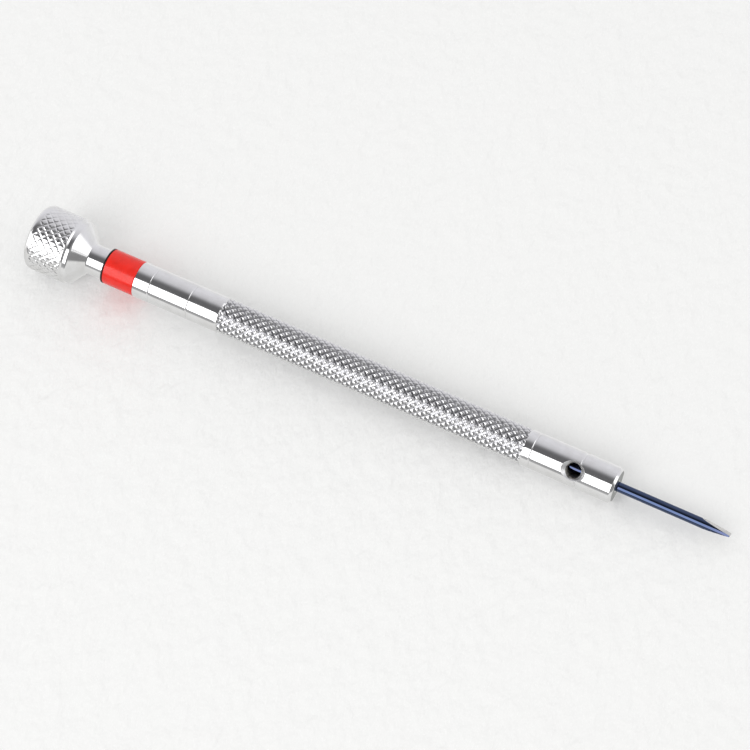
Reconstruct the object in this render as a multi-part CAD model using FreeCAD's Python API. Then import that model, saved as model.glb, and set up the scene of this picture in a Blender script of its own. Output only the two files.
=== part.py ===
"""Watchmaker screwdriver: knurled handle, swivelling finger head, colour ring and clamped blade.

Every piece is built about the tool's axis, which runs along +X, with stations measured from
the rear face of the swivel head. At the end the tool is moved so that its origin is the
middle of the bottom of its box: it lies along X, with the blade's tip towards +X.
"""
import FreeCAD, Part
import math
import os

# ---- Driving dimensions, in millimetres and degrees ------------------------------------

# Handle barrel, from the shoulder behind the colour ring to the flat of the nose.
barrel_radius = 2.25
barrel_length = 63.8
nose_chamfer_length = 0.35
nose_chamfer_drop = 0.26
spigot_radius = 1.6

# Fine turned grooves: two measured from the shoulder, two measured back from the nose.
rear_groove_offsets = [2.15, 7.45]
front_groove_offsets = [10.6, 4.6]
groove_width = 0.24
groove_depth = 0.09

# Colour ring and the washer between it and the head.
ring_length = 4.15
washer_thickness = 0.22

# Swivel head, from its rear rim to the front end of its neck.
head_radius = 4.2
rim_length = 5.2
rim_wall = 1.15
rim_edge_radius = 0.8
rim_chamfer = 0.22
land_length = 0.3
corner_radius = 0.35
shoulder_slope = 50.0
neck_fillet = 0.25
neck_radius = 1.9
head_length = 9.87
neck_edge_break = 0.08

# Finger cap pressed in the rear of the head, and the ball that it rests on.
cap_thickness = 1.6
cap_recess = 0.2
cap_lip_break = 0.15
cap_rim = 0.3
cap_seat_step = 0.5
dish_depth = 0.65
ball_radius = 1.0
ball_seat_depth = 0.35

# Flanged pin that the head turns on.
pin_radius = 1.0
pin_press_depth = 5.0
flange_room = 0.35
flange_thickness = 0.9
flange_edge_break = 0.12

# Blade, round with two flats ground to the tip.
blade_radius = 0.6
blade_reach = 14.3
blade_grip = 13.0
flat_length = 3.7
tip_thickness = 0.18
blade_end_break = 0.1
flat_roll = -40.0

# Tapped cross hole, through both walls, and the set screw in its lower side.
hole_from_nose = 5.22
hole_roll = 43.6
tap_radius = 0.875
countersink_radius = 1.525
screw_sunk = 0.2
screw_slot_width = 0.35
screw_slot_depth = 0.45
screw_edge_break = 0.12

# Clearances.
running_gap = 0.03
end_play = 0.03
thread_gap = 0.02
blade_gap = 0.05
bore_end_room = 0.4

# ---- Stations along the axis, from the rear face of the head ------------------------------

land_radius = head_radius - rim_chamfer
x_land = rim_length + rim_chamfer
x_shoulder = x_land + land_length
x_washer = head_length + end_play
x_spigot = x_washer + washer_thickness
x_barrel = x_spigot + ring_length
x_nose = x_barrel + barrel_length
x_tip = x_nose + blade_reach
x_hole = x_nose - hole_from_nose

cap_radius = head_radius - rim_wall
dish_radius = cap_radius - cap_rim
chamber_radius = cap_radius - cap_seat_step
flange_radius = chamber_radius - flange_room
x_cap_front = cap_recess + cap_thickness
seat_radius = ball_radius + running_gap
x_ball = x_cap_front - ball_seat_depth + seat_radius
x_flange = x_ball + ball_radius + end_play
x_flange_front = x_flange + flange_thickness
x_chamber_front = x_flange_front + end_play

ORIGIN = FreeCAD.Vector(0, 0, 0)
X_AXIS = FreeCAD.Vector(1, 0, 0)
Y_AXIS = FreeCAD.Vector(0, 1, 0)


# ---- Shared shapes ---------------------------------------------------------------------

def at(x, r):
    """Point of a turning profile: station x, radius r."""
    return FreeCAD.Vector(x, 0, r)


def turned(start, *steps):
    """Solid turned about the X axis from a closed profile.

    A step of two numbers is a straight line to (x, r). A step of four numbers is an arc
    through (x, r) to a second (x, r).
    """
    here = at(*start)
    edges = []
    for step in steps + (start,):
        there = at(*step[-2:])
        if here.distanceToPoint(there) > 1e-7:
            if len(step) == 4:
                edges.append(Part.Arc(here, at(*step[:2]), there).toShape())
            else:
                edges.append(Part.LineSegment(here, there).toShape())
        here = there
    return Part.Face(Part.Wire(edges)).revolve(ORIGIN, X_AXIS, 360)


def on_circle(x, r, radius, degrees):
    """Profile point on a circle about (x, r), at an angle from +X towards +r."""
    angle = math.radians(degrees)
    return (x + radius * math.cos(angle), r + radius * math.sin(angle))


def rod(radius, x_start, x_end):
    """Plain cylinder on the axis between two stations."""
    return Part.makeCylinder(radius, x_end - x_start, at(x_start, 0), X_AXIS)


def rolled(shape, degrees):
    """Turn a shape about the tool's axis; a positive roll brings its top towards -Y."""
    shape.rotate(ORIGIN, X_AXIS, degrees)
    return shape


def across(shape, degrees):
    """Stand a shape made along +X on end at the cross hole, and roll it."""
    shape.rotate(ORIGIN, Y_AXIS, -90)
    shape.rotate(ORIGIN, X_AXIS, degrees)
    shape.translate(FreeCAD.Vector(x_hole, 0, 0))
    return shape


# ---- Swivel head and what it holds -----------------------------------------------------------

def swivel_head():
    """Finger head: rim, sloping shoulder and neck, bored for the pin and hollow behind."""
    rim_round = on_circle(rim_edge_radius, head_radius - rim_edge_radius, rim_edge_radius, 135)
    slope = math.radians(shoulder_slope)
    curves = corner_radius + neck_fillet
    cone_drop = land_radius - neck_radius - curves * (1 - math.cos(slope))
    x_neck = x_shoulder + curves * math.sin(slope) + cone_drop / math.tan(slope)
    corner = (x_shoulder, land_radius - corner_radius, corner_radius)
    corner_middle = on_circle(*corner, 90 - shoulder_slope / 2)
    corner_end = on_circle(*corner, 90 - shoulder_slope)
    fillet = (x_neck, neck_radius + neck_fillet, neck_fillet)
    fillet_start = on_circle(*fillet, 270 - shoulder_slope)
    fillet_middle = on_circle(*fillet, 270 - shoulder_slope / 2)
    pin_bore_radius = pin_radius + running_gap
    return turned(
        (0, cap_radius + cap_lip_break),
        (0, head_radius - rim_edge_radius),
        rim_round + (rim_edge_radius, head_radius),
        (rim_length, head_radius),
        (x_land, land_radius),
        (x_shoulder, land_radius),
        corner_middle + corner_end,
        fillet_start,
        fillet_middle + (x_neck, neck_radius),
        (head_length - neck_edge_break, neck_radius),
        (head_length, neck_radius - neck_edge_break),
        (head_length, pin_bore_radius),
        (x_chamber_front, pin_bore_radius),
        (x_chamber_front, chamber_radius),
        (x_cap_front, chamber_radius),
        (x_cap_front, cap_radius),
        (cap_lip_break, cap_radius),
    )


def finger_cap():
    """Disc pressed in the head: a dish for the fingertip behind, a seat for the ball ahead."""
    dish_sphere = (dish_radius ** 2 + dish_depth ** 2) / (2 * dish_depth)
    x_dish = cap_recess + dish_depth
    dish_angle = math.degrees(math.asin(dish_radius / dish_sphere))
    dish_middle = on_circle(x_dish - dish_sphere, 0, dish_sphere, dish_angle / 2)
    seat_angle = math.degrees(math.acos((seat_radius - ball_seat_depth) / seat_radius))
    seat_edge = on_circle(x_ball, 0, seat_radius, 180 - seat_angle)
    seat_middle = on_circle(x_ball, 0, seat_radius, 180 - seat_angle / 2)
    return turned(
        (x_dish, 0),
        dish_middle + (cap_recess, dish_radius),
        (cap_recess, cap_radius),
        (x_cap_front, cap_radius),
        seat_edge,
        seat_middle + (x_ball - seat_radius, 0),
    )


def bearing_ball():
    """Steel ball between the finger cap and the pin's flange."""
    return Part.makeSphere(ball_radius, at(x_ball, 0))


def pivot_pin():
    """Flanged pin, pressed in the barrel, that the head turns on."""
    x_end = x_spigot + pin_press_depth
    return turned(
        (x_flange, 0),
        (x_flange, flange_radius - flange_edge_break),
        (x_flange + flange_edge_break, flange_radius),
        (x_flange_front, flange_radius),
        (x_flange_front, pin_radius),
        (x_end - flange_edge_break, pin_radius),
        (x_end, pin_radius - flange_edge_break),
        (x_end, 0),
    )


# ---- Handle ----------------------------------------------------------------------------------

def colour_ring():
    """Ring that codes the blade's size, pushed on the spigot, flush with the barrel."""
    return rod(barrel_radius, x_spigot, x_barrel).cut(rod(spigot_radius, x_spigot, x_barrel))


def thrust_washer():
    """Thin washer on the pin, between the head's neck and the ring."""
    disc = rod(barrel_radius, x_washer, x_spigot)
    return disc.cut(rod(pin_radius + running_gap, x_washer, x_spigot))


def groove(x):
    """Profile points of one fine V groove in the barrel."""
    return [
        (x - groove_width / 2, barrel_radius),
        (x, barrel_radius - groove_depth),
        (x + groove_width / 2, barrel_radius),
    ]


def barrel_blank():
    """Turned outside of the barrel: spigot, grooves and chamfered nose."""
    grooves = []
    for offset in rear_groove_offsets:
        grooves += groove(x_barrel + offset)
    for offset in front_groove_offsets:
        grooves += groove(x_nose - offset)
    return turned(
        (x_spigot, 0),
        (x_spigot, spigot_radius),
        (x_barrel, spigot_radius),
        (x_barrel, barrel_radius),
        *grooves,
        (x_nose - nose_chamfer_length, barrel_radius),
        (x_nose, barrel_radius - nose_chamfer_drop),
        (x_nose, 0),
    )


def blade_bore():
    """Blind bore in the nose, with the drill's cone at its end."""
    radius = blade_radius + blade_gap
    x_end = x_nose - blade_grip - bore_end_room
    return turned((x_end - radius / 2, 0), (x_end, radius), (x_nose, radius), (x_nose, 0))


def cross_hole():
    """Tapping-size hole through both walls, countersunk at 90 degrees on both sides."""
    sink_start = barrel_radius - (countersink_radius - tap_radius)
    past_wall = barrel_radius + tap_radius
    past_radius = tap_radius + past_wall - sink_start
    return across(turned(
        (-past_wall, 0),
        (-past_wall, past_radius),
        (-sink_start, tap_radius),
        (sink_start, tap_radius),
        (past_wall, past_radius),
        (past_wall, 0),
    ), hole_roll)


def handle_barrel():
    """Barrel with its blade bore, pin bore and cross hole."""
    pin_bore = rod(pin_radius, x_spigot, x_spigot + pin_press_depth + end_play)
    return barrel_blank().cut([blade_bore(), pin_bore, cross_hole()])


def clamp_screw():
    """Slotted set screw in the lower side of the cross hole, its point on the blade."""
    radius = tap_radius - thread_gap
    point = blade_radius + thread_gap
    top = barrel_radius - screw_sunk
    body = turned(
        (point, 0),
        (point, radius - screw_edge_break),
        (point + screw_edge_break, radius),
        (top - screw_edge_break, radius),
        (top, radius - screw_edge_break),
        (top, 0),
    )
    slot_corner = FreeCAD.Vector(top - screw_slot_depth, -screw_slot_width / 2, -radius)
    slot = Part.makeBox(screw_slot_depth, screw_slot_width, 2 * radius, slot_corner)
    return across(body.cut(slot), hole_roll + 180)


# ---- Blade -------------------------------------------------------------------------------------

def blade():
    """Round blade with two flats that taper to the tip."""
    x_rear = x_nose - blade_grip
    x_flat = x_tip - flat_length
    body = turned(
        (x_rear, 0),
        (x_rear, blade_radius - blade_end_break),
        (x_rear + blade_end_break, blade_radius),
        (x_tip, blade_radius),
        (x_tip, 0),
    )
    outline = Part.makePolygon([
        at(x_flat, blade_radius),
        at(x_tip, tip_thickness / 2),
        at(x_tip + blade_radius, tip_thickness / 2),
        at(x_tip + blade_radius, 2 * blade_radius),
        at(x_flat, 2 * blade_radius),
        at(x_flat, blade_radius),
    ])
    outline.translate(Y_AXIS * -blade_radius)
    upper = Part.Face(outline).extrude(Y_AXIS * (2 * blade_radius))
    lower = upper.mirror(ORIGIN, FreeCAD.Vector(0, 0, 1))
    return rolled(body.cut([upper, lower]), flat_roll)


# ---- Assembly ----------------------------------------------------------------------------------

NODES = {
    "handle_barrel": handle_barrel,
    "colour_ring": colour_ring,
    "thrust_washer": thrust_washer,
    "pivot_pin": pivot_pin,
    "swivel_head": swivel_head,
    "finger_cap": finger_cap,
    "bearing_ball": bearing_ball,
    "blade": blade,
    "clamp_screw": clamp_screw,
}

os.makedirs("parts", exist_ok=True)
to_row_frame = FreeCAD.Vector(-x_tip / 2, 0, head_radius)
for node, build in NODES.items():
    shape = build()
    shape.translate(to_row_frame)
    shape.exportStep(f"parts/{node}.step")
    print(f"{node}: {len(shape.Solids)} solid, valid {shape.isValid()}, {shape.Volume:.3f} mm3")
print(f"overall length {x_tip:.2f} mm")
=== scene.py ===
"""Watchmaker screwdriver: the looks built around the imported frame.

The tool lies along X, its axis level, with the blade's tip towards +X. Lengths are written
in millimetres as n * MM, because the scene itself is in metres.
"""
import math
import bmesh
import bpy
from mathutils import Matrix, Vector


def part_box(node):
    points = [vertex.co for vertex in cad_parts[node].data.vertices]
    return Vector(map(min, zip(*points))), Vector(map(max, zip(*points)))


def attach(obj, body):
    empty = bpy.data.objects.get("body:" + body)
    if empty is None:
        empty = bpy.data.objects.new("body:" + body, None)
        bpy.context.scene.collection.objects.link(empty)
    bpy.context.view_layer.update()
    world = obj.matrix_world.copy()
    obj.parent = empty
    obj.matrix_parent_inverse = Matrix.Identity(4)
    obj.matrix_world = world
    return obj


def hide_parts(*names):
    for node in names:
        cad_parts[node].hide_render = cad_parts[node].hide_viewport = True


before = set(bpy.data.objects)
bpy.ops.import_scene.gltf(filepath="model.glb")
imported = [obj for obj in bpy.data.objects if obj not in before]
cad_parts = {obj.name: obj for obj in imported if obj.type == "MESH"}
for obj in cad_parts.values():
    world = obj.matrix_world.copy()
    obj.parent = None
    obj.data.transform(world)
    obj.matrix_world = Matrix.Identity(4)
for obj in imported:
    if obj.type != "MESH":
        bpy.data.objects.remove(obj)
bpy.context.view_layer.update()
MM = 0.001

# ---- Handle barrel: knurled grip -----------------------------------------------------------
# The barrel is one bar of brass, turned, knurled with two crossing hands of grooves where it
# is gripped, then nickel plated bright. The knurl is made first, because the smooth ends of
# the barrel are welded to its two rims.

barrel_low, barrel_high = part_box("handle_barrel")
ring_low, ring_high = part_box("colour_ring")
axis_z = (barrel_low.z + barrel_high.z) / 2
barrel_radius = (barrel_high.z - barrel_low.z) / 2
barrel_shoulder = ring_high.x
barrel_nose = barrel_high.x
knurl_start = barrel_shoulder + 11.53 * MM
knurl_end = barrel_nose - 11.67 * MM
barrel_starts = 14
barrel_steps = 5
barrel_segments = 2 * barrel_starts * barrel_steps


def sized_input(tree, name, kind):
    """Named input of a node tree."""
    return tree.interface.new_socket(name, in_out="INPUT", socket_type=kind)


def knurl_tree():
    """Tube about the X axis, its skin cut by two hands of grooves that leave domed diamonds."""
    ridge_softness, crest_softness = 0.12, 0.10
    flank_curve = 1.6
    wander_seed, wander_scale = 7.0, 900.0
    tree = bpy.data.node_groups.new("diamond_knurl", "GeometryNodeTree")
    tree.is_modifier = True
    for name in ("Start", "End", "Axis Height", "Radius", "Depth", "Crest Flat", "Run Out",
                 "Unevenness"):
        sized_input(tree, name, "NodeSocketFloat")
    for name in ("Starts", "Diamonds Along", "Steps"):
        sized_input(tree, name, "NodeSocketInt")
    sized_input(tree, "Material", "NodeSocketMaterial")
    tree.interface.new_socket("Geometry", in_out="OUTPUT", socket_type="NodeSocketGeometry")
    inputs = tree.nodes.new("NodeGroupInput").outputs
    link = tree.links.new

    def put(socket, value):
        if isinstance(value, bpy.types.NodeSocket):
            link(value, socket)
        else:
            socket.default_value = value

    def sum_of(operation, *values):
        node = tree.nodes.new("ShaderNodeMath")
        node.operation = operation
        for socket, value in zip(node.inputs, values):
            put(socket, value)
        return node.outputs[0]

    length = sum_of("SUBTRACT", inputs["End"], inputs["Start"])
    middle = sum_of("MULTIPLY", sum_of("ADD", inputs["End"], inputs["Start"]), 0.5)
    per_half = sum_of("MULTIPLY", inputs["Steps"], 2)
    grid = tree.nodes.new("GeometryNodeMeshGrid")
    put(grid.inputs["Size X"], length)
    put(grid.inputs["Size Y"], 1.0)
    put(grid.inputs["Vertices X"],
        sum_of("ADD", sum_of("MULTIPLY", inputs["Diamonds Along"], per_half), 1))
    put(grid.inputs["Vertices Y"],
        sum_of("ADD", sum_of("MULTIPLY", inputs["Starts"], per_half), 1))

    place = tree.nodes.new("ShaderNodeSeparateXYZ")
    link(tree.nodes.new("GeometryNodeInputPosition").outputs[0], place.inputs[0])
    along, turn = place.outputs["X"], place.outputs["Y"]
    angle = sum_of("MULTIPLY", turn, 2 * math.pi)
    side, height = sum_of("COSINE", angle), sum_of("SINE", angle)

    diamonds = sum_of("MULTIPLY", sum_of("DIVIDE", along, length), inputs["Diamonds Along"])
    strands = sum_of("MULTIPLY", turn, inputs["Starts"])
    from_right_hand = sum_of("PINGPONG", sum_of("ADD", strands, diamonds), 0.5)
    from_left_hand = sum_of("PINGPONG", sum_of("SUBTRACT", strands, diamonds), 0.5)
    off_groove = sum_of("MULTIPLY", sum_of("SMOOTH_MIN", from_right_hand, from_left_hand,
                                           ridge_softness), 2)
    full = sum_of("SUBTRACT", 1, inputs["Crest Flat"])
    climb = sum_of("DIVIDE", sum_of("SMOOTH_MIN", off_groove, full, crest_softness), full)
    left_to_climb = sum_of("MAXIMUM", sum_of("SUBTRACT", 1, climb), 0)
    sunk = sum_of("POWER", left_to_climb, flank_curve)

    spot = tree.nodes.new("ShaderNodeCombineXYZ")
    put(spot.inputs["X"], along)
    put(spot.inputs["Y"], sum_of("MULTIPLY", side, inputs["Radius"]))
    put(spot.inputs["Z"], sum_of("MULTIPLY", height, inputs["Radius"]))
    wander = tree.nodes.new("ShaderNodeTexNoise")
    wander.noise_dimensions = "4D"
    put(wander.inputs["Vector"], spot.outputs[0])
    put(wander.inputs["W"], wander_seed)
    put(wander.inputs["Scale"], wander_scale)
    put(wander.inputs["Detail"], 1.0)
    uneven = sum_of("MULTIPLY", sum_of("SUBTRACT", wander.outputs[0], 0.5), inputs["Unevenness"])
    from_rim = sum_of("SUBTRACT", sum_of("MULTIPLY", length, 0.5), sum_of("ABSOLUTE", along))
    inside = sum_of("MINIMUM", sum_of("DIVIDE", from_rim, inputs["Run Out"]), 1)
    share = sum_of("MULTIPLY", sum_of("MULTIPLY", sunk, inside), sum_of("ADD", 1, uneven))
    radius = sum_of("SUBTRACT", inputs["Radius"], sum_of("MULTIPLY", share, inputs["Depth"]))

    shaped = tree.nodes.new("ShaderNodeCombineXYZ")
    put(shaped.inputs["X"], sum_of("ADD", along, middle))
    put(shaped.inputs["Y"], sum_of("MULTIPLY", side, radius))
    put(shaped.inputs["Z"], sum_of("ADD", sum_of("MULTIPLY", height, radius),
                                   inputs["Axis Height"]))
    # The groove share is stored as the mask for the plates' roughness and for their painted groove
    # shade.
    keep = tree.nodes.new("GeometryNodeStoreNamedAttribute")
    keep.data_type = "FLOAT"
    keep.domain = "POINT"
    put(keep.inputs["Geometry"], grid.outputs["Mesh"])
    put(keep.inputs["Name"], "groove")
    put(keep.inputs["Value"], share)
    move = tree.nodes.new("GeometryNodeSetPosition")
    put(move.inputs["Geometry"], keep.outputs["Geometry"])
    put(move.inputs["Position"], shaped.outputs[0])
    weld = tree.nodes.new("GeometryNodeMergeByDistance")
    put(weld.inputs["Geometry"], move.outputs["Geometry"])
    put(weld.inputs["Distance"], 0.001 * MM)
    real = tree.nodes.new("GeometryNodeRealizeInstances")
    link(weld.outputs["Geometry"], real.inputs["Geometry"])
    paint = tree.nodes.new("GeometryNodeSetMaterial")
    link(real.outputs["Geometry"], paint.inputs["Geometry"])
    put(paint.inputs["Material"], inputs["Material"])
    link(paint.outputs["Geometry"], tree.nodes.new("NodeGroupOutput").inputs[0])
    return tree


def knurled_tube(tree, material, **sizes):
    """Mesh of a knurled tube, with the tree's named inputs given as words."""
    maker = bpy.data.objects.new("knurl_maker", bpy.data.meshes.new("knurl_maker"))
    bpy.context.scene.collection.objects.link(maker)
    maker.data.materials.append(material)
    modifier = maker.modifiers.new("knurl", "NODES")
    modifier.node_group = tree
    values = {name.replace("_", " ").title(): value for name, value in sizes.items()}
    values["Material"] = material
    for item in tree.interface.items_tree:
        if item.in_out == "INPUT" and item.name in values:
            modifier[item.identifier] = values[item.name]
    maker.update_tag()
    seen = maker.evaluated_get(bpy.context.evaluated_depsgraph_get())
    mesh = bpy.data.meshes.new_from_object(seen)
    maker.modifiers.remove(modifier)
    bpy.data.objects.remove(maker)
    return mesh


def shader_nodes(name):
    """Fresh material with its node tree, its surface shader and a maker of nodes."""
    material = bpy.data.materials.new(name)
    material.use_nodes = True
    tree = material.node_tree
    surface = tree.nodes["Principled BSDF"]

    def node(kind, **settings):
        made = tree.nodes.new(kind)
        for key, value in settings.items():
            setattr(made, key, value)
        return made

    return material, tree, surface, node


def stretched_noise(tree, node, spread, scale, detail=2.0, rough=0.5):
    """Noise over the piece's own coordinates, stretched by a scale for each direction."""
    place = node("ShaderNodeTexCoord")
    turned = node("ShaderNodeMapping")
    turned.inputs["Scale"].default_value = spread
    noise = node("ShaderNodeTexNoise")
    noise.inputs["Scale"].default_value = scale
    noise.inputs["Detail"].default_value = detail
    noise.inputs["Roughness"].default_value = rough
    tree.links.new(place.outputs["Object"], turned.inputs["Vector"])
    tree.links.new(turned.outputs["Vector"], noise.inputs["Vector"])
    return noise.outputs[0]


def spread_over(tree, node, value, low, high, out_low, out_high):
    """Map Range with clamped ends."""
    ranged = node("ShaderNodeMapRange")
    tree.links.new(value, ranged.inputs["Value"])
    for key, number in (("From Min", low), ("From Max", high), ("To Min", out_low),
                        ("To Max", out_high)):
        ranged.inputs[key].default_value = number
    return ranged.outputs[0]


def bumped(tree, node, height, distance, strength=1.0, under=None):
    """Bump of a height, laid over another bump when one is given."""
    bump = node("ShaderNodeBump")
    bump.inputs["Distance"].default_value = distance
    bump.inputs["Strength"].default_value = strength
    tree.links.new(height, bump.inputs["Height"])
    if under:
        tree.links.new(under, bump.inputs["Normal"])
    return bump.outputs[0]


def nickel_plate(name, roughness, waves_high, lines_high, shade_from, shade_to, groove_shade_grey):
    """Bright nickel over turned brass: fine turning lines, faint handling marks, and painted
    shade that darkens a knurl's grooves between two depths."""
    material, tree, surface, node = shader_nodes(name)
    link = tree.links.new
    surface.inputs["Metallic"].default_value = 1.0
    cut = node("ShaderNodeAttribute", attribute_name="groove")
    cloud = stretched_noise(tree, node, (1, 1, 1), 700.0, detail=3.0)
    tint = node("ShaderNodeMix", data_type="RGBA")
    tint.inputs["A"].default_value = (0.86, 0.86, 0.87, 1)
    tint.inputs["B"].default_value = (0.80, 0.795, 0.80, 1)
    link(spread_over(tree, node, cloud, 0.35, 0.65, 0, 1), tint.inputs["Factor"])
    # Painted shade: the base colour darkens towards a grey down in a knurl's grooves, between two
    # depths of the groove share.
    shade = node("ShaderNodeMix", data_type="RGBA")
    shade.inputs["B"].default_value = (groove_shade_grey, groove_shade_grey, 1.08 * groove_shade_grey, 1)
    link(tint.outputs["Result"], shade.inputs["A"])
    link(spread_over(tree, node, cut.outputs["Fac"], shade_from, shade_to, 0, 1),
         shade.inputs["Factor"])
    link(shade.outputs["Result"], surface.inputs["Base Color"])
    smear = stretched_noise(tree, node, (0.35, 1, 1), 1600.0, detail=4.0, rough=0.65)
    gloss = spread_over(tree, node, smear, 0.35, 0.75, roughness * 0.75, roughness * 1.5)
    dull = node("ShaderNodeMath", operation="MULTIPLY_ADD")
    dull.inputs[1].default_value = 0.03
    link(cut.outputs["Fac"], dull.inputs[0])
    link(gloss, dull.inputs[2])
    link(dull.outputs[0], surface.inputs["Roughness"])
    lines = stretched_noise(tree, node, (1, 0.01, 0.01), 16000.0, detail=3.0, rough=0.6)
    waves = stretched_noise(tree, node, (1, 0.05, 0.05), 1100.0, detail=2.0)
    marks = stretched_noise(tree, node, (0.4, 1, 1), 9000.0, detail=3.0, rough=0.7)
    under = bumped(tree, node, waves, waves_high)
    under = bumped(tree, node, marks, 0.3 * waves_high, under=under)
    link(bumped(tree, node, lines, lines_high, under=under), surface.inputs["Normal"])
    return material


# Bright plate: painted shade darkens only the deepest bottoms of the head's knurl grooves, towards a
# 0.14 grey.
bright_nickel = nickel_plate(
    "bright_nickel_plate", roughness=0.09, waves_high=0.0012 * MM, lines_high=0.0008 * MM,
    shade_from=0.9, shade_to=1.5, groove_shade_grey=0.14)
# Grip plate: painted shade darkens its knurl grooves towards a 0.32 grey where the groove share passes
# 0.4.
knurled_nickel = nickel_plate(
    "knurled_nickel_plate", roughness=0.19, waves_high=0.0004 * MM, lines_high=0.0002 * MM,
    shade_from=0.40, shade_to=1.10, groove_shade_grey=0.32)


def turned_finish_and_painted_shade(name, dark, light, roughness):
    """Brass left as the lathe or the tap cut it: duller, with the grain of the tool's marks.
    Where the given tones are dark, they are painted shade.
    """
    material, tree, surface, node = shader_nodes(name)
    link = tree.links.new
    surface.inputs["Metallic"].default_value = 1.0
    cloud = stretched_noise(tree, node, (1, 1, 1), 2500.0, detail=4.0, rough=0.65)
    tint = node("ShaderNodeMix", data_type="RGBA")
    tint.inputs["A"].default_value = (*dark, 1)
    tint.inputs["B"].default_value = (*light, 1)
    link(spread_over(tree, node, cloud, 0.35, 0.65, 0, 1), tint.inputs["Factor"])
    link(tint.outputs["Result"], surface.inputs["Base Color"])
    link(spread_over(tree, node, cloud, 0.3, 0.7, roughness, roughness * 1.4),
         surface.inputs["Roughness"])
    grain = stretched_noise(tree, node, (1, 1, 1), 14000.0, detail=3.0, rough=0.6)
    link(bumped(tree, node, grain, 0.002 * MM), surface.inputs["Normal"])
    return material


# The nose face is turned duller; its dark grey is painted shade for the shaded sheet it mirrors and for
# the shade inside the blade's bore.
painted_shade_faced_nickel = turned_finish_and_painted_shade("faced_nickel_plate", (0.26, 0.27, 0.27), (0.36, 0.37, 0.36), 0.34)
countersunk_nickel = turned_finish_and_painted_shade("countersunk_nickel_plate", (0.78, 0.78, 0.79),
                                  (0.88, 0.88, 0.89), 0.30)
# The tapped hole's walls are painted shade: a dark grey for the shade deep in the cross hole.
tapped_hole_painted_shade = turned_finish_and_painted_shade("tapped_hole_painted_shade", (0.16, 0.15, 0.14), (0.30, 0.29, 0.27), 0.30)
diamond_knurl = knurl_tree()
grip_mesh = knurled_tube(
    diamond_knurl, knurled_nickel, start=knurl_start, end=knurl_end, axis_height=axis_z,
    radius=barrel_radius, depth=0.28 * MM, crest_flat=0.04, run_out=0.2 * MM, unevenness=0.35,
    starts=barrel_starts, diamonds_along=39, steps=barrel_steps)

# ---- Handle barrel: smooth rear and nose, welded to the grip --------------------------------
# Behind the knurl the bar is smooth, with two fine turned grooves, and steps down to the
# spigot under the colour ring. The nose has two more grooves, the blade's bore, and the
# tapped cross hole, countersunk at both ends.

groove_half_width = 0.12 * MM
groove_depth = 0.09 * MM
shoulder_break = 0.05 * MM
spigot_radius = 1.6 * MM
pin_bore_radius = 1.0 * MM
pin_bore_depth = 5.03 * MM
blade_bore_radius = 0.65 * MM
blade_bore_depth = 13.4 * MM
bore_mouth_break = 0.12 * MM
nose_chamfer_length = 0.35 * MM
nose_chamfer_drop = 0.26 * MM
nose_round = 0.1 * MM
rear_grooves = [barrel_shoulder + 2.15 * MM, barrel_shoulder + 7.45 * MM]
nose_grooves = [barrel_nose - 10.6 * MM, barrel_nose - 4.6 * MM]
hole_station = barrel_nose - 5.22 * MM
# The cross hole leans 43.6 degrees from upright, towards the near side.
hole_outwards = Vector((0, -0.6896, 0.7242))
thread_reach = 1.08 * MM
countersink_start = 1.6 * MM
countersink_reach = 1.6 * MM
skin_depth = 0.01 * MM
bore_skin = 0.05 * MM
hole_zone = 1.9 * MM
hole_zone_step = 0.11 * MM
plain_step = 0.4 * MM


def turned_groove(x):
    """Outline of a fine groove with a rounded bottom and softened lips."""
    w, d = groove_half_width, groove_depth
    return [(x - 1.5 * w, barrel_radius), (x - w, barrel_radius - 0.06 * d),
            (x - 0.35 * w, barrel_radius - 0.9 * d), (x, barrel_radius - d),
            (x + 0.35 * w, barrel_radius - 0.9 * d), (x + w, barrel_radius - 0.06 * d),
            (x + 1.5 * w, barrel_radius)]


def rounded(outline, radius, steps=4):
    """Outline with each inner corner replaced by a small curve that cuts it."""
    soft = [outline[0]]
    for before, corner, after in zip(outline, outline[1:], outline[2:]):
        here = Vector(corner)
        back, ahead = Vector(before) - here, Vector(after) - here
        reach = min(radius, 0.45 * back.length, 0.45 * ahead.length)
        if back.length < 1e-9 or ahead.length < 1e-9 or back.angle(ahead) > math.radians(172):
            soft.append(corner)
            continue
        start, end = here + back.normalized() * reach, here + ahead.normalized() * reach
        for step in range(steps + 1):
            t = step / steps
            point = start * (1 - t) ** 2 + here * 2 * t * (1 - t) + end * t ** 2
            soft.append(tuple(point))
    return soft + [outline[-1]]


def spun(mesh_tool, outline, segments, closed=False):
    """Skin of an outline of (x, radius) points turned about the tool's axis."""
    rings = []
    for x, radius in outline:
        if radius < 1e-9:
            rings.append([mesh_tool.verts.new((x, 0, axis_z))])
            continue
        ring = []
        for step in range(segments):
            angle = 2 * math.pi * step / segments - math.pi
            ring.append(mesh_tool.verts.new(
                (x, radius * math.cos(angle), axis_z + radius * math.sin(angle))))
        rings.append(ring)
    pairs = list(zip(rings, rings[1:]))
    if closed:
        pairs.append((rings[-1], rings[0]))
    for one, other in pairs:
        for step in range(segments):
            after = (step + 1) % segments
            corners = [one[step % len(one)], one[after % len(one)],
                       other[after % len(other)], other[step % len(other)]]
            corners = [v for i, v in enumerate(corners) if v not in corners[:i]]
            if len(corners) > 2:
                mesh_tool.faces.new(corners)


def evenly(start, end, spacing):
    """Outline points between two stations on the barrel's surface, ends left out."""
    count = max(1, round(abs(end - start) / spacing))
    return [(start + (end - start) * step / count, barrel_radius) for step in range(1, count)]


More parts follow.
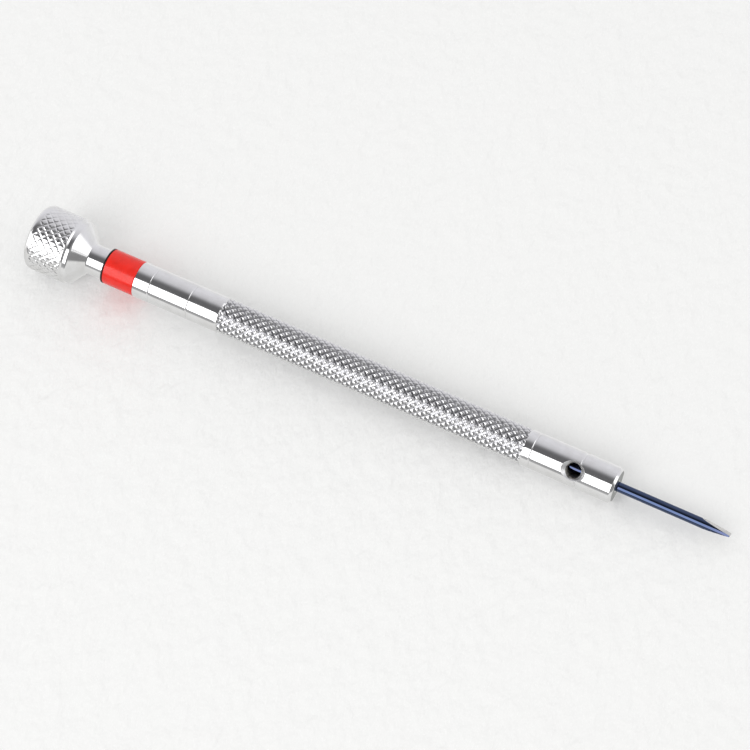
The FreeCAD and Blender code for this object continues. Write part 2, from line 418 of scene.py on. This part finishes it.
def piece_from(mesh_tool, name, materials, body, nodes, crease=35):
    """Object of a finished mesh, smooth but for its creases, riding on its body."""
    bmesh.ops.remove_doubles(mesh_tool, verts=mesh_tool.verts, dist=0.0008 * MM)
    bmesh.ops.recalc_face_normals(mesh_tool, faces=mesh_tool.faces)
    mesh = bpy.data.meshes.new(name)
    mesh_tool.to_mesh(mesh)
    mesh_tool.free()
    mesh.shade_smooth()
    mesh.set_sharp_from_angle(angle=math.radians(crease))
    for material in materials:
        if material.name not in mesh.materials:
            mesh.materials.append(material)
    piece = bpy.data.objects.new(name, mesh)
    bpy.context.scene.collection.objects.link(piece)
    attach(piece, body)
    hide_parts(*nodes)
    return piece


def threaded_plug(radius, thread_depth, pitch, half_length, flare_start, flare):
    """Solid that cuts the tapped hole: a screw-threaded rod, flared at both ends."""
    tool = bmesh.new()
    around, per_turn = 48, 10
    rows = round(2 * half_length / pitch * per_turn)
    rings = []
    for row in range(rows + 1):
        t = -half_length + 2 * half_length * row / rows
        ring = []
        for step in range(around):
            share = step / around
            ridge = abs(((t / pitch - share) % 1) * 2 - 1)
            r = radius + thread_depth * min(1, 1.3 * ridge)
            r = max(r, radius + flare * (abs(t) - flare_start))
            angle = 2 * math.pi * share
            ring.append(tool.verts.new((r * math.cos(angle), r * math.sin(angle), t)))
        rings.append(ring)
    for one, other in zip(rings, rings[1:]):
        for step in range(around):
            after = (step + 1) % around
            tool.faces.new([one[step], one[after], other[after], other[step]])
    tool.faces.new(rings[0][::-1])
    tool.faces.new(rings[-1])
    return tool


nose_outline = [(knurl_end, 0), (knurl_end, barrel_radius)]
nose_outline += evenly(knurl_end, nose_grooves[0] - 1.5 * groove_half_width, 0.25 * MM)
nose_outline += turned_groove(nose_grooves[0])
nose_outline += evenly(nose_grooves[0] + 1.5 * groove_half_width, hole_station - hole_zone,
                       plain_step)
nose_outline += evenly(hole_station - hole_zone, nose_grooves[1] - 1.5 * groove_half_width,
                       hole_zone_step)
nose_outline += turned_groove(nose_grooves[1])
nose_outline += evenly(nose_grooves[1] + 1.5 * groove_half_width, hole_station + hole_zone,
                       hole_zone_step)
chamfer_start = barrel_nose - nose_chamfer_length
nose_outline += evenly(hole_station + hole_zone, chamfer_start - nose_round, 0.3 * MM)
nose_outline += rounded([
    (chamfer_start - nose_round, barrel_radius),
    (chamfer_start, barrel_radius),
    (barrel_nose, barrel_radius - nose_chamfer_drop),
    (barrel_nose, blade_bore_radius + bore_mouth_break),
    (barrel_nose - bore_mouth_break, blade_bore_radius),
    (barrel_nose - blade_bore_depth + blade_bore_radius / 2, blade_bore_radius),
    (barrel_nose - blade_bore_depth, 0),
], nose_round)
nose_solid = bmesh.new()
spun(nose_solid, nose_outline, barrel_segments)
bmesh.ops.recalc_face_normals(nose_solid, faces=nose_solid.faces)

thread_cutter = threaded_plug(
    radius=0.875 * MM, thread_depth=0.2 * MM, pitch=0.45 * MM, half_length=3.0 * MM,
    flare_start=countersink_start, flare=1.0)
bmesh.ops.recalc_face_normals(thread_cutter, faces=thread_cutter.faces)
to_hole = Matrix.Translation((hole_station, 0, axis_z)) @ hole_outwards.to_track_quat(
    "Z", "Y").to_matrix().to_4x4()
thread_cutter.transform(to_hole)


def cut_away(solid, cutter):
    """Mesh of one closed solid with another taken from it."""
    objects = []
    for name, tool in (("blank", solid), ("cutter", cutter)):
        mesh = bpy.data.meshes.new(name)
        tool.to_mesh(mesh)
        tool.free()
        made = bpy.data.objects.new(name, mesh)
        bpy.context.scene.collection.objects.link(made)
        objects.append(made)
    cut = objects[0].modifiers.new("cut", "BOOLEAN")
    cut.operation = "DIFFERENCE"
    cut.solver = "EXACT"
    cut.object = objects[1]
    seen = objects[0].evaluated_get(bpy.context.evaluated_depsgraph_get())
    mesh = bpy.data.meshes.new_from_object(seen)
    for made in objects:
        bpy.data.objects.remove(made)
    return mesh


nose_mesh = cut_away(nose_solid, thread_cutter)

barrel = bmesh.new()
barrel.from_mesh(grip_mesh)
knurl_faces = len(barrel.faces)
barrel.from_mesh(nose_mesh)
barrel.faces.ensure_lookup_table()
plug = [f for f in barrel.faces[knurl_faces:]
        if max(v.co.x for v in f.verts) < knurl_end + skin_depth]
bmesh.ops.delete(barrel, geom=plug, context="FACES_ONLY")
rear_outline = [
    (ring_low.x + pin_bore_depth, 0),
    (ring_low.x + pin_bore_depth, pin_bore_radius),
    (ring_low.x, pin_bore_radius),
    (ring_low.x, spigot_radius),
    (barrel_shoulder, spigot_radius),
    (barrel_shoulder, barrel_radius - shoulder_break),
    (barrel_shoulder + shoulder_break, barrel_radius),
]
rear_end = barrel_shoulder + shoulder_break
for x in rear_grooves:
    rear_outline += evenly(rear_end, x - 1.5 * groove_half_width, plain_step)
    rear_outline += turned_groove(x)
    rear_end = x + 1.5 * groove_half_width
rear_outline += evenly(rear_end, knurl_start, plain_step) + [(knurl_start, barrel_radius)]
spun(barrel, rear_outline, barrel_segments)
barrel.faces.ensure_lookup_table()
barrel_finishes_and_painted_shade = [knurled_nickel, bright_nickel, painted_shade_faced_nickel, tapped_hole_painted_shade, countersunk_nickel]
knurled, bright, faced, tapped, countersunk = range(len(barrel_finishes_and_painted_shade))
hole_middle = Vector((hole_station, 0, axis_z))
for face in barrel.faces[:knurl_faces]:
    face.material_index = knurled
for face in barrel.faces[knurl_faces:]:
    middle = face.calc_center_median()
    from_axis = math.hypot(middle.y, middle.z - axis_z)
    off_hole = (middle - hole_middle).cross(hole_outwards).length
    up_hole = abs((middle - hole_middle).dot(hole_outwards))
    # The nose face and the blade's bore take the duller faced plate, darkened by painted shade; the
    # cross hole's tapped walls take plain painted shade.
    if middle.x > barrel_nose - skin_depth or from_axis < blade_bore_radius + bore_skin:
        face.material_index = faced
    elif off_hole < thread_reach and up_hole < countersink_start:
        face.material_index = tapped
    elif off_hole < countersink_reach and from_axis < barrel_radius - skin_depth:
        face.material_index = countersunk
    else:
        face.material_index = bright
piece_from(barrel, "plated_barrel", barrel_finishes_and_painted_shade, "handle", ["handle_barrel"])

# ---- Colour ring and washer -------------------------------------------------------------------
# The ring is moulded in glossy red plastic and pushed on the spigot; red stands for the
# blade's size. Behind it a thin black nylon washer takes the rub of the swivel head.

ring_edge = 0.05 * MM
round_segments = 120


def moulded_plastic(name, colour, roughness, grain, shine):
    """Moulded plastic with a faint orange-peel skin and rubbed patches."""
    material, tree, surface, node = shader_nodes(name)
    link = tree.links.new
    cloud = stretched_noise(tree, node, (1, 1, 1), 1200.0, detail=3.0)
    tint = node("ShaderNodeMix", data_type="RGBA")
    tint.inputs["A"].default_value = (*colour, 1)
    tint.inputs["B"].default_value = (*(0.86 * c for c in colour), 1)
    link(spread_over(tree, node, cloud, 0.4, 0.7, 0, 1), tint.inputs["Factor"])
    link(tint.outputs["Result"], surface.inputs["Base Color"])
    rub = stretched_noise(tree, node, (1, 0.3, 0.3), 3500.0, detail=4.0, rough=0.7)
    link(spread_over(tree, node, rub, 0.4, 0.75, roughness, roughness * 1.6),
         surface.inputs["Roughness"])
    surface.inputs["Specular IOR Level"].default_value = shine
    peel = stretched_noise(tree, node, (1, 1, 1), 5200.0, detail=2.0)
    link(bumped(tree, node, peel, grain), surface.inputs["Normal"])
    return material


red_plastic = moulded_plastic("glossy_red_plastic", (0.78, 0.018, 0.009), 0.19, 0.0012 * MM, 0.47)
black_nylon = moulded_plastic("satin_black_nylon", (0.010, 0.006, 0.006), 0.45, 0.004 * MM, 0.3)

ring = bmesh.new()
spun(ring, rounded([
    (ring_low.x + ring_edge, spigot_radius),
    (ring_high.x, spigot_radius),
    (ring_high.x, barrel_radius - ring_edge),
    (ring_high.x - ring_edge, barrel_radius),
    (ring_low.x + ring_edge, barrel_radius),
    (ring_low.x, barrel_radius - ring_edge),
    (ring_low.x, spigot_radius),
    (ring_low.x + ring_edge, spigot_radius),
], ring_edge / 2), round_segments)
piece_from(ring, "red_size_ring", [red_plastic], "handle", ["colour_ring"])

washer_low, washer_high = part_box("thrust_washer")
washer_edge = 0.04 * MM
washer_bore = 1.03 * MM
washer = bmesh.new()
spun(washer, rounded([
    (washer_low.x + washer_edge, washer_bore),
    (washer_high.x, washer_bore),
    (washer_high.x, barrel_radius),
    (washer_low.x, barrel_radius),
    (washer_low.x, washer_bore),
    (washer_low.x + washer_edge, washer_bore),
], washer_edge), round_segments)
piece_from(washer, "nylon_washer", [black_nylon], "handle", ["thrust_washer"])

# ---- Swivel head --------------------------------------------------------------------------------
# Turned from brass bar with a finer knurl on its rim, a polished chamfer, a rounded shoulder
# and a slim neck, plated like the barrel. It is hollow behind, where the cap is pressed in.

head_low, head_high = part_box("swivel_head")
cap_low, cap_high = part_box("finger_cap")
knurl_allowance = 0.003 * MM
head_radius = (head_high.z - head_low.z) / 2 - knurl_allowance
head_rear = head_low.x
head_front = head_high.x
cap_radius = (cap_high.z - cap_low.z) / 2
rim_round = 0.8 * MM
rim_end = head_rear + 5.2 * MM
rim_chamfer = 0.22 * MM
land_end = rim_end + rim_chamfer + 0.3 * MM
shoulder_round = 0.35 * MM
shoulder_slope = 50
neck_radius = 1.9 * MM
neck_fillet = 0.25 * MM
chamber_radius = 2.55 * MM
chamber_end = head_rear + 4.44 * MM
head_bore_radius = 1.03 * MM
head_starts = 26
head_steps = 8
head_segments = 2 * head_starts * head_steps
head_knurl_start = head_rear + rim_round + 0.1 * MM
head_knurl_end = rim_end - 0.02 * MM


def arc_points(centre_x, centre_r, radius, start, end, steps=10):
    """Points of an arc, with angles in degrees from +X towards the outside."""
    points = []
    for step in range(steps + 1):
        angle = math.radians(start + (end - start) * step / steps)
        points.append((centre_x + radius * math.cos(angle), centre_r + radius * math.sin(angle)))
    return points


rim_mesh = knurled_tube(
    diamond_knurl, bright_nickel, start=head_knurl_start, end=head_knurl_end,
    axis_height=axis_z, radius=head_radius, depth=0.085 * MM, crest_flat=0.55,
    run_out=0.12 * MM, unevenness=0.5, starts=head_starts, diamonds_along=4, steps=head_steps)
land_radius = head_radius - rim_chamfer
front_outline = [(head_knurl_end, head_radius)]
front_outline += rounded([
    (head_knurl_end, head_radius), (rim_end, head_radius),
    (rim_end + rim_chamfer, land_radius), (land_end, land_radius)], 0.05 * MM)[1:-1]
slope = math.radians(shoulder_slope)
curves = shoulder_round + neck_fillet
cone_drop = land_radius - neck_radius - curves * (1 - math.cos(slope))
neck_start = land_end + curves * math.sin(slope) + cone_drop / math.tan(slope)
front_outline += arc_points(land_end, land_radius - shoulder_round, shoulder_round, 90,
                            90 - shoulder_slope)
front_outline += arc_points(neck_start, neck_radius + neck_fillet, neck_fillet,
                            270 - shoulder_slope, 270)
front_outline += rounded([
    (neck_start + 0.4 * neck_fillet, neck_radius), (head_front, neck_radius),
    (head_front, head_bore_radius), (chamber_end, head_bore_radius),
    (chamber_end, chamber_radius), (cap_high.x, chamber_radius),
    (cap_high.x, cap_radius), (head_rear, cap_radius),
    (head_rear, head_radius - rim_round)], 0.07 * MM)
front_outline += arc_points(head_rear + rim_round, head_radius - rim_round, rim_round, 180,
                            90)[1:]
front_outline += [(head_knurl_start, head_radius)]
head = bmesh.new()
head.from_mesh(rim_mesh)
spun(head, front_outline, head_segments)
for face in head.faces:
    face.material_index = 0
piece_from(head, "knurled_head", [bright_nickel], "head", ["swivel_head"])

# ---- Finger cap ----------------------------------------------------------------------------------
# A plated brass disc pressed in the head's rear mouth. Its dish, turned smooth, takes the
# fingertip; the far side has a cupped seat that runs on the ball.

dish_depth = 0.65 * MM
dish_rim = 0.3 * MM
seat_depth = 0.35 * MM
seat_radius = 1.03 * MM
dish_radius = cap_radius - dish_rim
dish_sphere = (dish_radius ** 2 + dish_depth ** 2) / (2 * dish_depth)
dish_angle = math.degrees(math.asin(dish_radius / dish_sphere))
seat_angle = math.degrees(math.acos(1 - seat_depth / seat_radius))
dish_floor = cap_low.x + dish_depth
seat_centre = cap_high.x - seat_depth + seat_radius
cap_outline = arc_points(dish_floor - dish_sphere, 0, dish_sphere, 0, dish_angle, 24)
cap_outline += rounded([
    (cap_low.x, dish_radius + 0.02 * MM), (cap_low.x, cap_radius), (cap_high.x, cap_radius),
    (cap_high.x, seat_radius)], 0.08 * MM)
cap_outline += arc_points(seat_centre, 0, seat_radius, 180 - seat_angle, 180, 8)
cap_outline[0] = (cap_outline[0][0], 0)
cap_outline[-1] = (cap_outline[-1][0], 0)
cap = bmesh.new()
spun(cap, cap_outline, round_segments)
piece_from(cap, "dished_finger_cap", [bright_nickel], "head", ["finger_cap"])

# ---- Blade ------------------------------------------------------------------------------------------
# Hardened steel rod, heat-blued to a deep navy, with two flats ground to a chisel tip. The
# grinding takes the blue off, so the flats and the very tip show bare steel.

blade_low, blade_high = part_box("blade")
blade_radius = 0.6 * MM
blade_tip = blade_high.x
blade_rear = blade_low.x
flat_start = blade_tip - 3.7 * MM
tip_half_thickness = 0.09 * MM
tip_break = 0.03 * MM
flat_roll = math.radians(-40)
blade_segments = 96


def blued_steel():
    """Heat-blued steel: navy with drifts towards violet, polished along its length."""
    material, tree, surface, node = shader_nodes("heat_blued_steel")
    link = tree.links.new
    surface.inputs["Metallic"].default_value = 1.0
    drift = stretched_noise(tree, node, (0.35, 1, 1), 900.0, detail=3.0)
    tint = node("ShaderNodeValToRGB")
    tint.color_ramp.elements[0].position = 0.3
    tint.color_ramp.elements[0].color = (0.068, 0.090, 0.165, 1)
    tint.color_ramp.elements[1].position = 0.75
    tint.color_ramp.elements[1].color = (0.075, 0.086, 0.158, 1)
    middle = tint.color_ramp.elements.new(0.52)
    middle.color = (0.061, 0.084, 0.154, 1)
    link(drift, tint.inputs["Fac"])
    link(tint.outputs["Color"], surface.inputs["Base Color"])
    smear = stretched_noise(tree, node, (0.2, 1, 1), 4000.0, detail=4.0, rough=0.7)
    link(spread_over(tree, node, smear, 0.35, 0.7, 0.045, 0.09), surface.inputs["Roughness"])
    lines = stretched_noise(tree, node, (0.02, 1, 1), 22000.0, detail=3.0, rough=0.6)
    link(bumped(tree, node, lines, 0.0004 * MM), surface.inputs["Normal"])
    return material


def ground_steel(name, roughness):
    """Bare tool steel, with the fine parallel scratches of grinding or turning."""
    material, tree, surface, node = shader_nodes(name)
    link = tree.links.new
    surface.inputs["Metallic"].default_value = 1.0
    cloud = stretched_noise(tree, node, (1, 1, 1), 1500.0, detail=3.0)
    tint = node("ShaderNodeMix", data_type="RGBA")
    tint.inputs["A"].default_value = (0.66, 0.65, 0.63, 1)
    tint.inputs["B"].default_value = (0.52, 0.52, 0.53, 1)
    link(spread_over(tree, node, cloud, 0.35, 0.7, 0, 1), tint.inputs["Factor"])
    link(tint.outputs["Result"], surface.inputs["Base Color"])
    link(spread_over(tree, node, cloud, 0.3, 0.7, roughness, roughness * 1.5),
         surface.inputs["Roughness"])
    lines = stretched_noise(tree, node, (1, 0.04, 0.04), 15000.0, detail=4.0, rough=0.7)
    link(bumped(tree, node, lines, 0.001 * MM), surface.inputs["Normal"])
    return material


heat_blue = blued_steel()
bare = 1
bare_steel = ground_steel("ground_bare_steel", 0.26)
blade = bmesh.new()
blade_outline = [(blade_rear, 0), (blade_rear, blade_radius - 0.1 * MM),
                 (blade_rear + 0.1 * MM, blade_radius)]
blade_outline += [(blade_rear + (blade_tip - blade_rear) * share, blade_radius)
                  for share in (0.25, 0.5, 0.75)]
blade_outline += [(flat_start - 0.2 * MM, blade_radius),
                  (blade_tip - tip_break, blade_radius),
                  (blade_tip, blade_radius - tip_break), (blade_tip, 0)]
spun(blade, blade_outline, blade_segments)
taper = Vector((blade_tip - flat_start, 0, tip_half_thickness - blade_radius)).normalized()
for side in (1, -1):
    across_flat = Vector((-taper.z, 0, side * taper.x))
    across_flat.rotate(Matrix.Rotation(flat_roll, 3, "X"))
    edge = Vector((flat_start, 0, side * blade_radius))
    edge.rotate(Matrix.Rotation(flat_roll, 3, "X"))
    geometry = blade.verts[:] + blade.edges[:] + blade.faces[:]
    cut = bmesh.ops.bisect_plane(blade, geom=geometry, dist=1e-8,
                                 plane_co=edge + Vector((0, 0, axis_z)),
                                 plane_no=across_flat, clear_outer=True)
    rim = [e for e in cut["geom_cut"] if isinstance(e, bmesh.types.BMEdge)]
    filled = bmesh.ops.contextual_create(blade, geom=rim, mat_nr=bare)
    for face in filled["faces"]:
        face.material_index = bare
piece_from(blade, "blued_blade", [heat_blue, bare_steel], "blade", ["blade"],
           crease=20)

# ---- Set screw, pin and ball -----------------------------------------------------------------------
# The slotted set screw clamps the blade from the lower side of the cross hole. The flanged
# pin and the ball are hidden in the head; they keep their CAD shape, in bright steel.

screw_radius = 0.86 * MM
screw_thread = 0.12 * MM
screw_pitch = 0.45 * MM
screw_point = 0.62 * MM
screw_point_radius = 0.72 * MM
screw_top = 2.05 * MM
slot_width = 0.35 * MM
slot_depth = 0.45 * MM
turned_steel = ground_steel("bright_turned_steel", 0.2)


def threaded_stub():
    """Set screw's body along +Z: threaded skin between a broken point and top."""
    tool = bmesh.new()
    around, rows = 48, 40
    rings = []
    for row in range(rows + 1):
        t = screw_point + (screw_top - screw_point) * row / rows
        taper_in = min(t - screw_point, screw_top - t) + screw_point_radius
        ring = []
        for step in range(around):
            ridge = abs(((t / screw_pitch - step / around) % 1) * 2 - 1)
            r = min(screw_radius - screw_thread * ridge, taper_in)
            angle = 2 * math.pi * step / around
            ring.append(tool.verts.new((r * math.cos(angle), r * math.sin(angle), t)))
        rings.append(ring)
    for one, other in zip(rings, rings[1:]):
        for step in range(around):
            after = (step + 1) % around
            tool.faces.new([one[step], one[after], other[after], other[step]])
    tool.faces.new(rings[0][::-1])
    tool.faces.new(rings[-1])
    bmesh.ops.recalc_face_normals(tool, faces=tool.faces)
    return tool


slot_cutter = bmesh.new()
bmesh.ops.create_cube(slot_cutter, size=1.0)
slot_cutter.transform(Matrix.Translation((0, 0, screw_top)) @ Matrix.Diagonal(
    (4 * screw_radius, slot_width, 2 * slot_depth, 1)))
screw_mesh = cut_away(threaded_stub(), slot_cutter)
to_screw = Matrix.Translation((hole_station, 0, axis_z)) @ (-hole_outwards).to_track_quat(
    "Z", "Y").to_matrix().to_4x4()
screw = bmesh.new()
screw.from_mesh(screw_mesh)
screw.transform(to_screw)
piece_from(screw, "slotted_set_screw", [turned_steel], "set_screw",
           ["clamp_screw"])
for node_name in ("pivot_pin", "bearing_ball"):
    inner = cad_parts[node_name]
    inner.data.materials.clear()
    inner.data.materials.append(turned_steel)

# ---- Table, light and camera -------------------------------------------------------------------------
# The tool lies on a pale embossed sheet, on the head's rim and the nose. The plating mirrors a
# wide softbox in front, a dark gap overhead, a pale wall beyond and a lamp at each end. The
# sheet is lit evenly, with a small softbox for the faint shadow.

nose_touch = barrel_nose - 0.32 * MM
table_half = 1.2
rest_slope = math.atan2(barrel_low.z, nose_touch - rim_end)
table = bmesh.new()
bmesh.ops.create_grid(table, x_segments=8, y_segments=8, size=table_half)
table.transform(Matrix.Translation((rim_end, 0, 0)) @ Matrix.Rotation(-rest_slope, 4, "Y"))
table_mesh = bpy.data.meshes.new("table_top")
table.to_mesh(table_mesh)
table.free()
table_top = bpy.data.objects.new("table_top", table_mesh)
bpy.context.scene.collection.objects.link(table_top)
paper, paper_tree, paper_surface, paper_node = shader_nodes("embossed_pale_sheet")
paper_surface.inputs["Base Color"].default_value = (0.84, 0.84, 0.832, 1)
paper_surface.inputs["Roughness"].default_value = 0.55
pebbles = stretched_noise(paper_tree, paper_node, (1, 0.6, 1), 620.0, detail=3.0)
paper_tree.links.new(bumped(paper_tree, paper_node, pebbles, 0.35 * MM),
                     paper_surface.inputs["Normal"])
table_mesh.materials.append(paper)
table_top.visible_glossy = False

world = bpy.data.worlds.new("studio")
bpy.context.scene.world = world
world.use_nodes = True
sky = world.node_tree


def sky_node(kind, **settings):
    """New node of the studio's surroundings."""
    made = sky.nodes.new(kind)
    for key, value in settings.items():
        setattr(made, key, value)
    return made


def sky_bands(turn, bands):
    """Colour by the height on a full turn: down, near side, overhead, far side, down."""
    ramp = sky_node("ShaderNodeValToRGB")
    sky.links.new(turn, ramp.inputs["Fac"])
    stops = ramp.color_ramp.elements
    while len(stops) < len(bands):
        stops.new(0.5)
    for stop, (degrees, bright, tint) in zip(stops, bands):
        stop.position = degrees / 360
        stop.color = (bright * tint[0], bright * tint[1], bright * tint[2], 1)
    return ramp.outputs["Color"]


def sky_sum(operation, *values):
    """Result of one sum on sockets or numbers."""
    made = sky_node("ShaderNodeMath", operation=operation)
    for socket, value in zip(made.inputs, values):
        if isinstance(value, bpy.types.NodeSocket):
            sky.links.new(value, socket)
        else:
            socket.default_value = value
    return made.outputs[0]


def sky_step(value, low, high):
    """Nought below one value, one above another."""
    made = sky_node("ShaderNodeMapRange")
    sky.links.new(value, made.inputs["Value"])
    made.inputs["From Min"].default_value = low
    made.inputs["From Max"].default_value = high
    return made.outputs[0]


def sky_patch(*edges):
    """Share of a patch of the sky, bounded by soft edges along the directions."""
    share = 1.0
    for direction, low, high in edges:
        share = sky_sum("MULTIPLY", share, sky_step(direction, low, high))
    return share


def sky_mix(share, first, second):
    """Colour between two others, given as sockets or as a brightness."""
    made = sky_node("ShaderNodeMix", data_type="RGBA")
    sky.links.new(share, made.inputs["Factor"])
    for key, value in (("A", first), ("B", second)):
        if isinstance(value, bpy.types.NodeSocket):
            sky.links.new(value, made.inputs[key])
        else:
            made.inputs[key].default_value = (value, value, value, 1)
    return made.outputs["Result"]


plain = (1.0, 1.0, 1.0)
cool = (1.0, 0.995, 1.03)
sandy = (1.0, 1.0, 0.98)
panel = 3.2
towards = sky_node("ShaderNodeTexCoord")
parts = sky_node("ShaderNodeSeparateXYZ")
sky.links.new(towards.outputs["Generated"], parts.inputs[0])
to_right, to_far, upwards = parts.outputs
to_left = sky_sum("MULTIPLY", to_right, -1)
to_near = sky_sum("MULTIPLY", to_far, -1)
downwards = sky_sum("MULTIPLY", upwards, -1)
turn = sky_sum("FRACT", sky_sum("DIVIDE", sky_sum("ARCTAN2", to_near, downwards), 2 * math.pi))
mirrored = sky_bands(turn, [
    (0, 0.72, sandy), (40, 0.78, sandy), (69, 0.86, sandy), (74, 0.42, plain),
    (89, 0.34, plain), (94, panel, plain), (140, panel, plain), (145, 0.13, cool),
    (171, 0.14, cool), (178, 0.18, cool), (184, 0.27, cool), (191, 0.42, cool),
    (198, 0.56, cool), (206, 0.65, cool), (221, 0.72, cool), (237, 0.78, cool),
    (257, 0.80, cool), (285, 0.84, plain), (295, 0.95, plain), (306, 0.86, sandy),
    (330, 0.78, sandy), (360, 0.72, sandy)])
lit = sky_bands(turn, [
    (0, 1.0, plain), (90, 1.0, plain), (160, 0.98, plain), (200, 0.93, plain),
    (270, 0.90, plain), (360, 1.0, plain)])
dark_near_right = sky_patch((to_right, 0.0, 0.12), (to_near, 0.08, 0.16),
                            (upwards, -0.20, -0.12))
right_lamp = sky_patch((to_right, 0.72, 0.80), (to_far, -0.20, -0.02), (upwards, 0.0, 0.22),
                       (to_near, -0.62, -0.40))
left_lamp = sky_patch((to_left, 0.84, 0.90), (to_near, 0.06, 0.16), (upwards, -0.50, -0.36))
mirrored = sky_mix(dark_near_right, mirrored, 0.28)
mirrored = sky_mix(left_lamp, mirrored, 1.5)
mirrored = sky_mix(right_lamp, mirrored, 1.7)
# Only mirror rays meet the bands; matt faces are lit by the nearly even sky and the softbox.
ray = sky_node("ShaderNodeLightPath")
in_mirror = sky_sum("MULTIPLY", ray.outputs["Is Glossy Ray"],
                    sky_sum("LESS_THAN", ray.outputs["Diffuse Depth"], 0.5))
sky.links.new(sky_mix(in_mirror, lit, mirrored), sky.nodes["Background"].inputs["Color"])

key_side = 0.5
key_data = bpy.data.lights.new("key_softbox", "AREA")
key_data.shape = "RECTANGLE"
key_data.size = key_side
key_data.size_y = key_side
key_data.energy = 2.6
key_place = Vector((-0.15, -0.75, 0.62))
key = bpy.data.objects.new("key_softbox", key_data)
bpy.context.scene.collection.objects.link(key)
key.matrix_world = Matrix.Translation(key_place) @ key_place.to_track_quat(
    "Z", "Y").to_matrix().to_4x4()
key.visible_camera = False
key.visible_glossy = False

camera_data = bpy.data.cameras.new("camera")
camera_data.lens = 129.6
camera_data.sensor_width = 36.0
camera = bpy.data.objects.new("camera", camera_data)
bpy.context.scene.collection.objects.link(camera)
swing = math.radians(12.9)
elevation = math.radians(58.5)
tilt = math.radians(23.44)
distance = 0.323
outward = Vector((math.sin(swing), -math.cos(swing) * math.cos(elevation),
                  math.cos(swing) * math.sin(elevation)))
along_image = (Vector((1, 0, 0)) - outward * outward.x).normalized()
down_image = along_image.cross(outward)
right = along_image * math.cos(tilt) - down_image * math.sin(tilt)
up = -(along_image * math.sin(tilt) + down_image * math.cos(tilt))
aim_along, aim_down = -0.115 * MM, -0.67 * MM
target = Vector((aim_along, 0, axis_z)) + down_image * aim_down
turned = Matrix((right, up, outward)).transposed()
camera.matrix_world = Matrix.Translation(target + outward * distance) @ turned.to_4x4()
bpy.context.scene.camera = camera
bpy.context.scene.view_settings.view_transform = "Standard"
